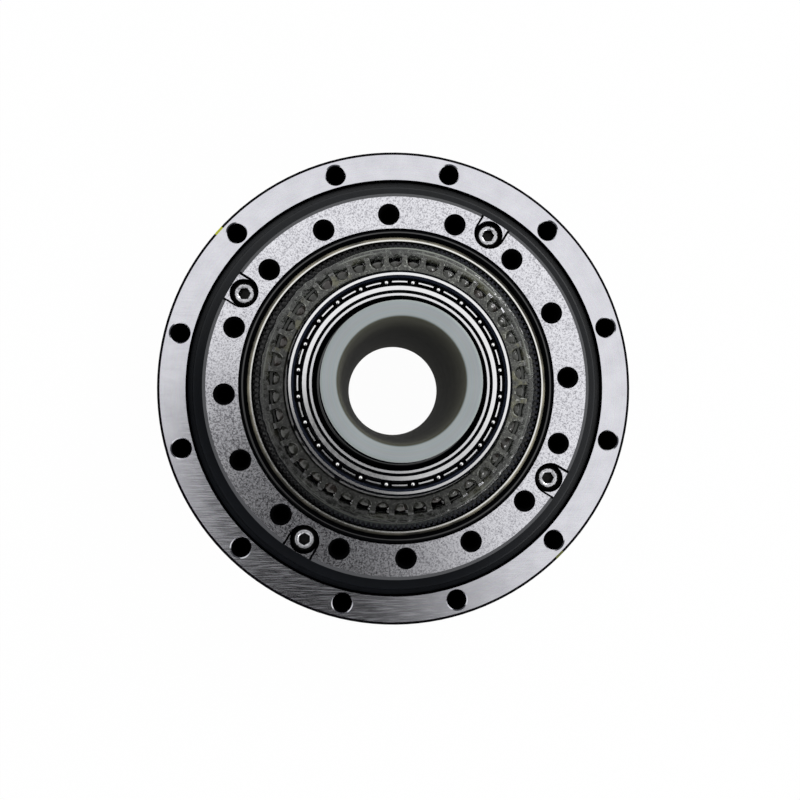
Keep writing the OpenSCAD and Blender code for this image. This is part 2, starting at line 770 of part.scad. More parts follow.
// Crown cage: a thin band with a pocket for each ball, open at one face
module sup_cage(z) {
    r = sup_pcd / 2;
    mid = z + sup_w / 2;
    seat = sup_ball_d / 2 + run_gap;
    difference() {
        translate([0, 0, mid - seat - 0.3]) cylinder(r = r + sup_cage_t / 2, h = 2 * seat + 0.5);
        translate([0, 0, z]) cylinder(r = r - sup_cage_t / 2, h = sup_w);
        around(sup_n, 180 / sup_n) translate([r - 1, 0, mid]) {
            rotate([0, 90, 0]) cylinder(r = seat, h = 2);
            translate([0, -seat * 0.9, 0]) cube([2, seat * 1.8, seat + 1]);
        }
    }
}

module front_inner_ring() {
    color("gainsboro") sup_inner(front_z0);
}

module front_outer_ring() {
    color("gainsboro") sup_outer(front_z0);
}

module front_balls() {
    color("white") sup_balls(front_z0);
}

module front_cage() {
    color("darkgray") sup_cage(front_z0);
}

module rear_inner_ring() {
    color("gainsboro") sup_inner(rear_z0);
}

module rear_outer_ring() {
    color("gainsboro") sup_outer(rear_z0);
}

module rear_balls() {
    color("white") sup_balls(rear_z0);
}

module rear_cage() {
    color("darkgray") sup_cage(rear_z0);
}

bearing_outer_ring();
roller_plug();
plug_pin();
output_seal();
flexspline();
flange_screws();
flange_o_ring();
circular_spline();
spline_screws();
face_o_ring();
bearing_inner_ring();
cross_rollers();
roller_spacers();
input_shaft();
flex_inner_race();
flex_balls();
flex_cage();
flex_outer_race();
race_ring();
sleeve_o_rings();
cable_sleeve();
front_inner_ring();
front_outer_ring();
front_balls();
front_cage();
rear_inner_ring();
rear_outer_ring();
rear_balls();
rear_cage();
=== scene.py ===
# Hollow-shaft strain wave reducer: finishes, grease, studio and camera.
import math
import bpy
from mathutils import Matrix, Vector


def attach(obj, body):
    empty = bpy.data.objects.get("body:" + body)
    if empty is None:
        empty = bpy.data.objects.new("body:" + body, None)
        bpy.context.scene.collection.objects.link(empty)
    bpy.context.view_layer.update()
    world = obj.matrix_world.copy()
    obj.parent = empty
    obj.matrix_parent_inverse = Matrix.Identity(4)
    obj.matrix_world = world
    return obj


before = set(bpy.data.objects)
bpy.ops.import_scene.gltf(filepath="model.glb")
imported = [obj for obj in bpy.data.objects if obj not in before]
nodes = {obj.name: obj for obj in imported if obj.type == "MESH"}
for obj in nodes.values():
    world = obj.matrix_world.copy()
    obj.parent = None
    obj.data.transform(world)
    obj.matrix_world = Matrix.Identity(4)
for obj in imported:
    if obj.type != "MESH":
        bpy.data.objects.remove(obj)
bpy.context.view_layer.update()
mm = 0.001


def srgb(code):  # hex colour to linear, as the shader reads it
    parts = [int(code[i:i + 2], 16) / 255 for i in (0, 2, 4)]
    return tuple(c / 12.92 if c <= 0.04045 else ((c + 0.055) / 1.055) ** 2.4 for c in parts) + (1.0,)


def feed(tree, node, links):  # joins a source to each named input; a node gives its first output in use
    for key, source in links.items():
        if hasattr(source, "outputs"):
            source = next(item for item in source.outputs if item.enabled)
        tree.links.new(source, node.inputs[key])


def addNode(tree, kind, settings=None, links=None):  # a node with its settings and what feeds its inputs
    node = tree.nodes.new(kind)
    for key, value in (settings or {}).items():
        if isinstance(key, str) and hasattr(node, key):
            setattr(node, key, value)
        else:
            node.inputs[key].default_value = value
    feed(tree, node, links or {})
    return node


def newMaterial(name, finish):  # a Principled shader and the object's coordinates in mm
    made = bpy.data.materials.new(name)
    made.use_nodes = True
    tree = made.node_tree
    tree.nodes.clear()
    body = addNode(tree, "ShaderNodeBsdfPrincipled", finish)
    addNode(tree, "ShaderNodeOutputMaterial", None, {"Surface": body})
    place = addNode(tree, "ShaderNodeTexCoord")
    point = addNode(tree, "ShaderNodeMapping", {"Scale": (1000, 1000, 1000)}, {"Vector": place.outputs["Object"]})
    return made, tree, body, point


def reachOf(tree, point):  # distance from the axis, mm
    flat = addNode(tree, "ShaderNodeVectorMath", {"operation": "MULTIPLY", 1: (1, 1, 0)}, {0: point})
    return addNode(tree, "ShaderNodeVectorMath", {"operation": "LENGTH"}, {0: flat}).outputs["Value"]


def mottle(tree, point, size, detail, low, high, distortion=0.0):  # a noise about size mm across, and two colours by it
    noise = addNode(tree, "ShaderNodeTexNoise", {"Scale": 1 / size, "Detail": detail, "Distortion": distortion},
                    {"Vector": point})
    tone = addNode(tree, "ShaderNodeMix", {"data_type": "RGBA", 6: srgb(low), 7: srgb(high)}, {0: noise})
    return noise, tone


def turnedLines(tree, point, pitch):  # lines round the axis, about pitch mm apart
    reach = reachOf(tree, point)
    return addNode(tree, "ShaderNodeTexNoise", {"noise_dimensions": "1D", "Scale": 1 / pitch, "Detail": 2.0}, {"W": reach})


def scratches(tree, point, width, turn):  # fine straight scratches at an angle
    laid = addNode(tree, "ShaderNodeMapping", {"Scale": (0.12, 2.4, 1), "Rotation": (0, 0, math.radians(turn))},
                   {"Vector": point})
    return addNode(tree, "ShaderNodeTexNoise", {"Scale": 1 / width, "Detail": 2.0}, {"Vector": laid})


def threads(tree, point, size, width):  # thin curling lines, as light catches on wet grease
    wander = addNode(tree, "ShaderNodeTexNoise", {"Scale": 1 / size, "Detail": 1.5, "Distortion": 0.8}, {"Vector": point})
    middle = addNode(tree, "ShaderNodeMath", {"operation": "SUBTRACT", 1: 0.5}, {0: wander})
    off = addNode(tree, "ShaderNodeMath", {"operation": "ABSOLUTE"}, {0: middle})
    return addNode(tree, "ShaderNodeMapRange", {"From Min": width, "From Max": 0.0}, {"Value": off})


def sideOf(tree, point, angle, low, high):  # 0 to 1 towards one side of the axis, degrees
    flat = addNode(tree, "ShaderNodeVectorMath", {"operation": "MULTIPLY", 1: (1, 1, 0)}, {0: point})
    unit = addNode(tree, "ShaderNodeVectorMath", {"operation": "NORMALIZE"}, {0: flat})
    aim = (math.cos(math.radians(angle)), math.sin(math.radians(angle)), 0)
    along = addNode(tree, "ShaderNodeVectorMath", {"operation": "DOT_PRODUCT", 1: aim}, {0: unit})
    return addNode(tree, "ShaderNodeMapRange", {"interpolation_type": "SMOOTHSTEP", "From Min": low, "From Max": high},
                   {"Value": along.outputs["Value"]})


def dimSide(tree, point, base, side, tone):  # painted shade: a colour multiplied by a tone towards one side, and that side's mask
    mask = sideOf(tree, point, *side)
    return mask, addNode(tree, "ShaderNodeMix", {"data_type": "RGBA", "blend_type": "MULTIPLY", 7: srgb(tone)},
                         {0: mask, 6: base})


def lookUp(tree, kind):  # how far a surface looks up, from its Normal or True Normal
    face = addNode(tree, "ShaderNodeNewGeometry")
    return addNode(tree, "ShaderNodeSeparateXYZ", None, {0: face.outputs[kind]}).outputs["Z"]


def wallMask(tree):  # 1 on walls and chamfers, 0 on faces square to the axis
    lean = addNode(tree, "ShaderNodeMath", {"operation": "ABSOLUTE"}, {0: lookUp(tree, "True Normal")})
    return addNode(tree, "ShaderNodeMath", {"operation": "LESS_THAN", 1: 0.985}, {0: lean})


def spotReach(tree, point, circle, count, start, slot=0):  # distance from spots on a circle; slots run out (1) or in (-1)
    part = addNode(tree, "ShaderNodeSeparateXYZ", None, {0: point})
    angle = addNode(tree, "ShaderNodeMath", {"operation": "ARCTAN2"}, {0: part.outputs["Y"], 1: part.outputs["X"]})
    first = addNode(tree, "ShaderNodeMath", {"operation": "SUBTRACT", 1: math.radians(start)}, {0: angle})
    half = math.pi / count
    off = addNode(tree, "ShaderNodeMath", {"operation": "WRAP", 1: half, 2: -half}, {0: first})
    reach = reachOf(tree, point)
    cosine = addNode(tree, "ShaderNodeMath", {"operation": "COSINE"}, {0: off})
    sine = addNode(tree, "ShaderNodeMath", {"operation": "SINE"}, {0: off})
    along = addNode(tree, "ShaderNodeMath", {"operation": "MULTIPLY_ADD", 2: -circle / 2}, {0: reach, 1: cosine})
    across = addNode(tree, "ShaderNodeMath", {"operation": "MULTIPLY"}, {0: reach, 1: sine})
    if slot:
        along = addNode(tree, "ShaderNodeMath", {"operation": "MINIMUM" if slot > 0 else "MAXIMUM", 1: 0.0}, {0: along})
    gap = addNode(tree, "ShaderNodeCombineXYZ", None, {0: along, 1: across})
    return addNode(tree, "ShaderNodeVectorMath", {"operation": "LENGTH"}, {0: gap}).outputs["Value"]


def spotMask(tree, point, circle, count, start, radius):  # 1 inside each round spot on a circle, mm and degrees
    length = spotReach(tree, point, circle, count, start)
    return addNode(tree, "ShaderNodeMath", {"operation": "LESS_THAN", 1: radius}, {0: length})


def ringMask(tree, reach, low, high):  # 1 between two radii
    above = addNode(tree, "ShaderNodeMath", {"operation": "GREATER_THAN", 1: low}, {0: reach})
    below = addNode(tree, "ShaderNodeMath", {"operation": "LESS_THAN", 1: high}, {0: reach})
    return addNode(tree, "ShaderNodeMath", {"operation": "MULTIPLY"}, {0: above, 1: below})


def hush(tree, body, mask):  # a deep hole or gap sends no light back
    rest = addNode(tree, "ShaderNodeMath", {"operation": "SUBTRACT", 0: 1.0}, {1: mask})
    shine = addNode(tree, "ShaderNodeMath", {"operation": "MULTIPLY", 1: 0.5}, {0: rest})
    feed(tree, body, {"Metallic": rest, "Specular IOR Level": shine})


housing = {"bolt circle": 84, "bolts": 12, "first bolt": 15.98, "bolt shade": 1.86, "seat": 40.6,
           "chamfer": 44.05, "edge line": 44.44, "outside": 44.98,
           "mark circle": 89.6, "mark": 138.6, "faint mark": 314.4, "mark size": 0.95}


def boltShade(tree, point):  # 1 in the housing's bolt holes
    return spotMask(tree, point, housing["bolt circle"], housing["bolts"], housing["first bolt"], housing["bolt shade"])


def groundSteel():  # through-hardened steel, face ground: cool grey, hazed by circular lines and crossing scratches
    made, tree, body, point = newMaterial("ground_bearing_steel", {"Metallic": 1.0, "Roughness": 0.2})
    lines = turnedLines(tree, point, 0.2)
    _, soft = mottle(tree, point, 3.5, 3.0, "cfcfd8", "eeeef6")
    grain = addNode(tree, "ShaderNodeTexNoise", {"Scale": 1 / 0.22, "Detail": 2.0}, {"Vector": point})
    lined = addNode(tree, "ShaderNodeMix", {"data_type": "RGBA", "blend_type": "OVERLAY", 0: 0.3},
                    {6: soft, 7: lines.outputs["Color"]})
    tone = addNode(tree, "ShaderNodeMix", {"data_type": "RGBA", "blend_type": "OVERLAY", 0: 0.35},
                   {6: lined, 7: grain.outputs["Color"]})
    grey = addNode(tree, "ShaderNodeHueSaturation", {"Saturation": 0.8}, {"Color": tone})
    reach = reachOf(tree, point)
    wall = wallMask(tree)
    # painted shade: the walls of the bolt holes and inside the seat are black
    inner = addNode(tree, "ShaderNodeMath", {"operation": "LESS_THAN", 1: housing["seat"]}, {0: reach})
    deep = addNode(tree, "ShaderNodeMath", {"operation": "MAXIMUM"}, {0: boltShade(tree, point), 1: inner})
    black = addNode(tree, "ShaderNodeMath", {"operation": "MULTIPLY"}, {0: deep, 1: wall})
    # painted shade: the outer chamfer and a thin line at the face's outer rim are near black
    sloped = addNode(tree, "ShaderNodeMath", {"operation": "COMPARE", 1: 0.7, 2: 0.25}, {0: lookUp(tree, "True Normal")})
    outer = addNode(tree, "ShaderNodeMath", {"operation": "GREATER_THAN", 1: housing["chamfer"]}, {0: reach})
    chamfer = addNode(tree, "ShaderNodeMath", {"operation": "MULTIPLY"}, {0: sloped, 1: outer})
    line = ringMask(tree, reach, housing["edge line"], housing["outside"])
    edge = addNode(tree, "ShaderNodeMath", {"operation": "MAXIMUM"}, {0: chamfer, 1: line})
    # painted shade: the outer wall is darkened
    outerWallShade = addNode(tree, "ShaderNodeMath", {"operation": "MULTIPLY"}, {0: wall, 1: outer})
    sided = addNode(tree, "ShaderNodeMix", {"data_type": "RGBA", "blend_type": "MULTIPLY", 7: srgb("b4b4b8")},
                    {0: outerWallShade, 6: grey})
    markedAndShaded = addNode(tree, "ShaderNodeMix", {"data_type": "RGBA", 7: srgb("0c0c0e")}, {0: edge, 6: sided})
    for place, paint in (("mark", "b4b83e"), ("faint mark", "5c5f30")):
        spot = spotMask(tree, point, housing["mark circle"], 1, housing[place], housing["mark size"])
        dab = addNode(tree, "ShaderNodeMath", {"operation": "MULTIPLY"}, {0: spot, 1: edge})
        markedAndShaded = addNode(tree, "ShaderNodeMix", {"data_type": "RGBA", 7: srgb(paint)}, {0: dab, 6: markedAndShaded})
    shade = addNode(tree, "ShaderNodeMix", {"data_type": "RGBA", 7: srgb("060607")}, {0: black, 6: markedAndShaded})
    quiet = addNode(tree, "ShaderNodeMath", {"operation": "MAXIMUM"}, {0: black, 1: edge})
    hush(tree, body, quiet)
    hatch = scratches(tree, point, 0.5, 40)
    cross = scratches(tree, point, 0.5, -35)
    crossed = addNode(tree, "ShaderNodeMath", {"operation": "MULTIPLY"}, {0: hatch, 1: cross})
    rough = addNode(tree, "ShaderNodeMapRange", {"From Min": 0.2, "From Max": 0.34, "To Min": 0.15, "To Max": 0.25},
                    {"Value": crossed})
    height = addNode(tree, "ShaderNodeMath", {"operation": "MULTIPLY_ADD", 1: 0.4}, {0: lines, 2: crossed})
    bump = addNode(tree, "ShaderNodeBump", {"Strength": 0.5, "Distance": 0.0025 * mm}, {"Height": height})
    feed(tree, body, {"Base Color": shade, "Roughness": rough, "Normal": bump})
    return made


output = {"hole circle": 62, "holes": 16, "first hole": 2.86, "hole shade": 1.97,
          "screw circle": 64.84, "screws": 4, "first screw": 58.8, "screw seat": 2.6,
          "pocket": 2.875, "pocket wall": 0.08, "corner": (0.42, 0.34), "pocket top": 31.2,
          "tooth zone": 26.2, "rim edge": 26.5, "bevel edge": 26.99, "groove": (27.0, 28.55), "groove floor": 30.15,
          "pooled side": (165, -0.1, 0.55), "lower side": (250, 0.35, 0.95), "upper side": (38, 0.75, 0.97)}


def screwReach(tree, point, slot=0):  # distance from the output's screws, or from their pockets
    return spotReach(tree, point, output["screw circle"], output["screws"], output["first screw"], slot)


def turnedIron():  # nodular cast iron, turned: bright with a sandy grain; blue black oil in its teeth; painted shade in its teeth, groove, pockets and holes and on its walls and bevel; painted reflection on the bevel
    made, tree, body, point = newMaterial("turned_nodular_iron", {"Metallic": 1.0, "Roughness": 0.2})
    grain = addNode(tree, "ShaderNodeTexNoise", {"Scale": 1 / 0.3, "Detail": 3.0, "Roughness": 0.7}, {"Vector": point})
    cloud, soft = mottle(tree, point, 4, 2.0, "e6e6ed", "fafaff")
    sandy = addNode(tree, "ShaderNodeMapRange", {"From Min": 0.46, "From Max": 0.66}, {"Value": grain})
    tone = addNode(tree, "ShaderNodeMix", {"data_type": "RGBA", "blend_type": "MULTIPLY", 7: srgb("a6a5a8")},
                   {0: sandy, 6: soft})
    reach = reachOf(tree, point)
    wall = wallMask(tree)
    tall = addNode(tree, "ShaderNodeSeparateXYZ", None, {0: point}).outputs["Z"]
    # painted shade: black lines along the pocket walls on the sunk pocket floors
    side = screwReach(tree, point, 1)
    corner = addNode(tree, "ShaderNodeMapRange", {"From Min": output["pocket"] - output["corner"][0],
                                                  "From Max": output["pocket"] - output["corner"][1]}, {"Value": side})
    sunk = addNode(tree, "ShaderNodeMath", {"operation": "LESS_THAN", 1: output["pocket top"]}, {0: tall})
    near = addNode(tree, "ShaderNodeMath", {"operation": "LESS_THAN", 1: output["pocket"] + output["pocket wall"]},
                   {0: side})
    sunkNear = addNode(tree, "ShaderNodeMath", {"operation": "MULTIPLY"}, {0: near, 1: sunk})
    cornerShade = addNode(tree, "ShaderNodeMath", {"operation": "MULTIPLY"}, {0: sunkNear, 1: corner})
    streaks = turnedLines(tree, point, 0.1)  # the bevel: streaky tan, partly stain and partly painted reflection, with painted shade on two sides
    streaky = addNode(tree, "ShaderNodeMath", {"operation": "MULTIPLY_ADD", 1: 0.7}, {0: streaks, 2: cloud})
    paintedGlint = addNode(tree, "ShaderNodeMapRange", {"From Min": 0.65, "From Max": 1.05}, {"Value": streaky})
    stainAndSheen = addNode(tree, "ShaderNodeMix", {"data_type": "RGBA", 6: srgb("4a4b48"), 7: srgb("aca693")}, {0: paintedGlint})
    lower = sideOf(tree, point, *output["lower side"])
    upper = sideOf(tree, point, *output["upper side"])
    twoSideShade = addNode(tree, "ShaderNodeMath", {"operation": "MAXIMUM"}, {0: lower, 1: upper})
    brown = addNode(tree, "ShaderNodeMix", {"data_type": "RGBA", "blend_type": "MULTIPLY", 7: srgb("909094")},
                    {0: twoSideShade, 6: stainAndSheen})
    bevel = ringMask(tree, reach, output["rim edge"], output["bevel edge"])
    # painted shade: the walls are darker grey
    walled = addNode(tree, "ShaderNodeMix", {"data_type": "RGBA", 7: srgb("47484b")}, {0: wall, 6: tone})
    bevelled = addNode(tree, "ShaderNodeMix", {"data_type": "RGBA"}, {0: bevel, 6: walled, 7: brown})
    rim = ringMask(tree, reach, output["tooth zone"], output["rim edge"])
    lit = addNode(tree, "ShaderNodeMix", {"data_type": "RGBA", 7: srgb("f3f2ee")}, {0: rim, 6: bevelled})
    shaded = sideOf(tree, point, *output["pooled side"])  # the teeth: blue black oil; painted shade, near black towards one side and black on the tooth flanks
    oil = addNode(tree, "ShaderNodeMix", {"data_type": "RGBA", 6: srgb("14151b"), 7: srgb("3a3c46")}, {0: sandy})
    shadedOil = addNode(tree, "ShaderNodeMix", {"data_type": "RGBA", 7: srgb("141415")}, {0: shaded, 6: oil})
    flank = addNode(tree, "ShaderNodeMix", {"data_type": "RGBA", 7: srgb("020203")}, {0: wall, 6: shadedOil})
    toothed = addNode(tree, "ShaderNodeMath", {"operation": "LESS_THAN", 1: output["tooth zone"]}, {0: reach})
    oilAndShade = addNode(tree, "ShaderNodeMix", {"data_type": "RGBA"}, {0: toothed, 6: lit, 7: flank})
    hole = spotMask(tree, point, output["hole circle"], output["holes"], output["first hole"], output["hole shade"])
    seat = addNode(tree, "ShaderNodeMath", {"operation": "LESS_THAN", 1: output["screw seat"]}, {0: screwReach(tree, point)})
    groove = ringMask(tree, reach, *output["groove"])  # painted shade, black: holes, screw seats, groove, pocket corners
    deep = addNode(tree, "ShaderNodeMath", {"operation": "MAXIMUM"}, {0: groove, 1: seat})
    low = addNode(tree, "ShaderNodeMath", {"operation": "LESS_THAN", 1: output["groove floor"]}, {0: tall})
    dim = addNode(tree, "ShaderNodeMath", {"operation": "MAXIMUM"}, {0: wall, 1: low})
    hidden = addNode(tree, "ShaderNodeMath", {"operation": "MULTIPLY"}, {0: deep, 1: dim})
    drilled = addNode(tree, "ShaderNodeMath", {"operation": "MAXIMUM"}, {0: hidden, 1: hole})
    black = addNode(tree, "ShaderNodeMath", {"operation": "MAXIMUM"}, {0: drilled, 1: cornerShade})
    shade = addNode(tree, "ShaderNodeMix", {"data_type": "RGBA", 7: srgb("060607")}, {0: black, 6: oilAndShade})
    toothShare = addNode(tree, "ShaderNodeMath", {"operation": "MULTIPLY", 1: 0.6}, {0: toothed})
    matt = addNode(tree, "ShaderNodeMath", {"operation": "MAXIMUM"}, {0: bevel, 1: toothShare})
    quiet = addNode(tree, "ShaderNodeMath", {"operation": "MAXIMUM"}, {0: black, 1: matt})
    hush(tree, body, quiet)
    rough = addNode(tree, "ShaderNodeMapRange", {"To Min": 0.21, "To Max": 0.14}, {"Value": sandy})
    bump = addNode(tree, "ShaderNodeBump", {"Strength": 0.5, "Distance": 0.005 * mm}, {"Height": grain})
    feed(tree, body, {"Base Color": shade, "Roughness": rough, "Normal": bump})
    return made


support = {"gaps": 18.6, "lip": (16.4, 17.1), "crown": (16.64, 16.86), "recess": 17.72, "land": 17.9}


def lappedSteel():  # bearing steel, ground and lapped: near white on its faces; painted shade, black in its gaps and on the cage band round its crown
    made, tree, body, point = newMaterial("lapped_bearing_steel", {"Metallic": 1.0, "Roughness": 0.14})
    lines = turnedLines(tree, point, 0.12)
    tone = addNode(tree, "ShaderNodeMix", {"data_type": "RGBA", 6: srgb("e9e9ec"), 7: srgb("ffffff")}, {0: lines})
    grain = addNode(tree, "ShaderNodeTexNoise", {"Scale": 1 / 0.5, "Detail": 2.0}, {"Vector": point})
    rough = addNode(tree, "ShaderNodeMapRange", {"To Min": 0.08, "To Max": 0.2}, {"Value": grain})
    wall = wallMask(tree)
    reach = reachOf(tree, point)
    # painted shade: the gaps and the cage band round its crown are black
    inner = addNode(tree, "ShaderNodeMath", {"operation": "LESS_THAN", 1: support["gaps"]}, {0: reach})
    gaps = addNode(tree, "ShaderNodeMath", {"operation": "MULTIPLY"}, {0: wall, 1: inner})
    band = ringMask(tree, reach, *support["lip"])
    crown = ringMask(tree, reach, *support["crown"])
    lip = addNode(tree, "ShaderNodeMath", {"operation": "SUBTRACT"}, {0: band, 1: crown})
    black = addNode(tree, "ShaderNodeMath", {"operation": "MAXIMUM"}, {0: gaps, 1: lip})
    shade = addNode(tree, "ShaderNodeMix", {"data_type": "RGBA", 7: srgb("0b0c0f")}, {0: black, 6: tone})
    hush(tree, body, black)
    feed(tree, body, {"Base Color": shade, "Roughness": rough})
    return made


def shadedRecessSteel():  # outer bearing ring, lapped on its land: painted shade, a mottled deep blue in the recess inside it and black on its walls outside the land
    made, tree, body, point = newMaterial("lapped_steel_blue_recess", {"Metallic": 1.0, "Roughness": 0.14})
    lines = turnedLines(tree, point, 0.12)
    tone = addNode(tree, "ShaderNodeMix", {"data_type": "RGBA", 6: srgb("e9e9ec"), 7: srgb("ffffff")}, {0: lines})
    _, blue = mottle(tree, point, 0.8, 4.0, "12141c", "3a4052")
    wall = wallMask(tree)
    reach = reachOf(tree, point)
    inner = addNode(tree, "ShaderNodeMath", {"operation": "LESS_THAN", 1: support["recess"]}, {0: reach})
    outer = addNode(tree, "ShaderNodeMath", {"operation": "GREATER_THAN", 1: support["land"]}, {0: reach})
    edge = addNode(tree, "ShaderNodeMath", {"operation": "MULTIPLY"}, {0: wall, 1: outer})
    edged = addNode(tree, "ShaderNodeMix", {"data_type": "RGBA", 7: srgb("0b0c0f")}, {0: edge, 6: tone})
    shade = addNode(tree, "ShaderNodeMix", {"data_type": "RGBA"}, {0: inner, 6: edged, 7: blue})
    share = addNode(tree, "ShaderNodeMath", {"operation": "MULTIPLY", 1: 0.8}, {0: inner})
    quiet = addNode(tree, "ShaderNodeMath", {"operation": "MAXIMUM"}, {0: edge, 1: share})
    hush(tree, body, quiet)
    feed(tree, body, {"Base Color": shade})
    return made


def polishedBall():  # balls and rollers, honed: grey mirrors; a support ball is painted black on its sides as shade, with a painted white glint on its top
    made, tree, body, point = newMaterial("honed_ball_steel", {"Metallic": 1.0, "Roughness": 0.05})
    _, tone = mottle(tree, point, 0.8, 2.0, "a4a5aa", "c0c1c6")
    # painted shade and painted glint: a support ball is black on its sides and white on its top
    side = addNode(tree, "ShaderNodeMapRange", {"From Min": 0.975, "From Max": 0.955}, {"Value": lookUp(tree, "Normal")})
    inner = addNode(tree, "ShaderNodeMath", {"operation": "LESS_THAN", 1: support["gaps"]}, {0: reachOf(tree, point)})
    black = addNode(tree, "ShaderNodeMath", {"operation": "MULTIPLY"}, {0: side, 1: inner})
    bright = addNode(tree, "ShaderNodeMix", {"data_type": "RGBA", 7: srgb("ffffff")}, {0: inner, 6: tone})
    shade = addNode(tree, "ShaderNodeMix", {"data_type": "RGBA", 7: srgb("0c0c0e")}, {0: black, 6: bright})
    hush(tree, body, black)
    feed(tree, body, {"Base Color": shade})
    return made


def turnedSteel():  # the shaft, carbon steel turned: satin on its end; its bore and journals are painted dark as shade
    made, tree, body, point = newMaterial("turned_carbon_steel", {"Metallic": 1.0, "Roughness": 0.2})
    lines = turnedLines(tree, point, 0.15)
    tone = addNode(tree, "ShaderNodeMix", {"data_type": "RGBA", 6: srgb("dcdcdf"), 7: srgb("fafafc")}, {0: lines})
    wall = wallMask(tree)
    # painted shade: walls dark
    shade = addNode(tree, "ShaderNodeMix", {"data_type": "RGBA", 7: srgb("17181a")}, {0: wall, 6: tone})
    hush(tree, body, wall)
    feed(tree, body, {"Base Color": shade})
    return made


cup = {"edge": (24.2, 24.6), "front": 21.0}


def springSteel():  # alloy steel, hobbed and peened: dull grey cup; its toothed end is dark with oil, with a painted highlight along the cup's edge, painted shade towards one side, and bolt hole walls painted black as shade
    made, tree, body, point = newMaterial("peened_alloy_steel", {"Metallic": 1.0, "Roughness": 0.38})
    grain, grey = mottle(tree, point, 0.25, 3.0, "6a6c6f", "a8a9ab")
    oil = addNode(tree, "ShaderNodeMix", {"data_type": "RGBA", 6: srgb("191c1e"), 7: srgb("43474a")}, {0: grain})
    tall = addNode(tree, "ShaderNodeSeparateXYZ", None, {0: point}).outputs["Z"]
    front = addNode(tree, "ShaderNodeMath", {"operation": "GREATER_THAN", 1: cup["front"]}, {0: tall})
    # painted highlight: a pale line along the cup's edge
    line = ringMask(tree, reachOf(tree, point), *cup["edge"])
    rubbedAndLit = addNode(tree, "ShaderNodeMix", {"data_type": "RGBA", 7: srgb("a2a79d")}, {0: line, 6: oil})
    # painted shade: darker towards one side
    _, sideShaded = dimSide(tree, point, rubbedAndLit, output["pooled side"], "8a8a8a")
    oilAndShade = addNode(tree, "ShaderNodeMix", {"data_type": "RGBA"}, {0: front, 6: grey, 7: sideShaded})
    # painted shade: the bolt hole walls are black
    black = addNode(tree, "ShaderNodeMath", {"operation": "MULTIPLY"}, {0: boltShade(tree, point), 1: wallMask(tree)})
    shade = addNode(tree, "ShaderNodeMix", {"data_type": "RGBA", 7: srgb("060607")}, {0: black, 6: oilAndShade})
    share = addNode(tree, "ShaderNodeMath", {"operation": "MULTIPLY", 1: 0.6}, {0: front})
    quiet = addNode(tree, "ShaderNodeMath", {"operation": "MAXIMUM"}, {0: black, 1: share})
    hush(tree, body, quiet)
    bump = addNode(tree, "ShaderNodeBump", {"Strength": 0.5, "Distance": 0.006 * mm}, {"Height": grain})
    feed(tree, body, {"Base Color": shade, "Normal": bump})
    return made


screws = {"socket": 1.4, "mouth": 29.36, "rubbed above": 29.3, "rubbed to": 2.14, "raggedness": 0.9}


def blackScrew():  # alloy steel, black oxide: dull black, rubbed bright round the socket
    made, tree, body, point = newMaterial("black_oxide_steel", {"Metallic": 1.0, "Roughness": 0.32})
    grain = addNode(tree, "ShaderNodeTexNoise", {"Scale": 1 / 0.35, "Detail": 3.0}, {"Vector": point})
    patch = addNode(tree, "ShaderNodeMapRange", {"From Min": 0.3, "From Max": 0.6}, {"Value": grain})
    bare = addNode(tree, "ShaderNodeMix", {"data_type": "RGBA", 6: srgb("9c9da1"), 7: srgb("e4e4e8")}, {0: patch})
    oxide = addNode(tree, "ShaderNodeMix", {"data_type": "RGBA", 6: srgb("08080a"), 7: srgb("201f1e")}, {0: patch})
    tall = addNode(tree, "ShaderNodeSeparateXYZ", None, {0: point}).outputs["Z"]
    out = screwReach(tree, point)
    centre = addNode(tree, "ShaderNodeMath", {"operation": "LESS_THAN", 1: screws["socket"]}, {0: out})
    upper = addNode(tree, "ShaderNodeMath", {"operation": "GREATER_THAN", 1: screws["mouth"]}, {0: tall})
    mouth = addNode(tree, "ShaderNodeMath", {"operation": "MULTIPLY"}, {0: centre, 1: upper})
    side = addNode(tree, "ShaderNodeMath", {"operation": "SUBTRACT"}, {0: wallMask(tree), 1: mouth})
    sunk = addNode(tree, "ShaderNodeMath", {"operation": "LESS_THAN", 1: screws["rubbed above"]}, {0: tall})
    ragged = addNode(tree, "ShaderNodeMath", {"operation": "MULTIPLY_ADD", 1: screws["raggedness"]}, {0: grain, 2: out})
    uncut = addNode(tree, "ShaderNodeMath", {"operation": "GREATER_THAN", 1: screws["rubbed to"]}, {0: ragged})
    rest = addNode(tree, "ShaderNodeMath", {"operation": "MAXIMUM"}, {0: side, 1: uncut})
    dark = addNode(tree, "ShaderNodeMath", {"operation": "MAXIMUM"}, {0: rest, 1: sunk})
    shade = addNode(tree, "ShaderNodeMix", {"data_type": "RGBA"}, {0: dark, 6: bare, 7: oxide})
    share = addNode(tree, "ShaderNodeMath", {"operation": "MULTIPLY", 1: 0.7}, {0: dark})
    hush(tree, body, share)
    bump = addNode(tree, "ShaderNodeBump", {"Strength": 0.6, "Distance": 0.03 * mm}, {"Height": grain})
    feed(tree, body, {"Base Color": shade, "Normal": bump})
    return made


seal = {"oiled side": (235, -0.2, 0.7)}


def sealRubber():  # nitrile rubber, moulded: blue black with a faint bloom; its shine is turned down towards one side as painted shade
    made, tree, body, point = newMaterial("moulded_nitrile_rubber", {"Roughness": 0.42})
    bloom, tone = mottle(tree, point, 1.6, 3.0, "0a0c10", "161a20")
    # painted shade: less shine towards one side
    darkened = sideOf(tree, point, *seal["oiled side"])
    shine = addNode(tree, "ShaderNodeMapRange", {"To Min": 0.46, "To Max": 0.1}, {"Value": darkened})
    rough = addNode(tree, "ShaderNodeMapRange", {"To Min": 0.32, "To Max": 0.55}, {"Value": bloom})
    feed(tree, body, {"Base Color": tone, "Specular IOR Level": shine, "Roughness": rough})
    return made


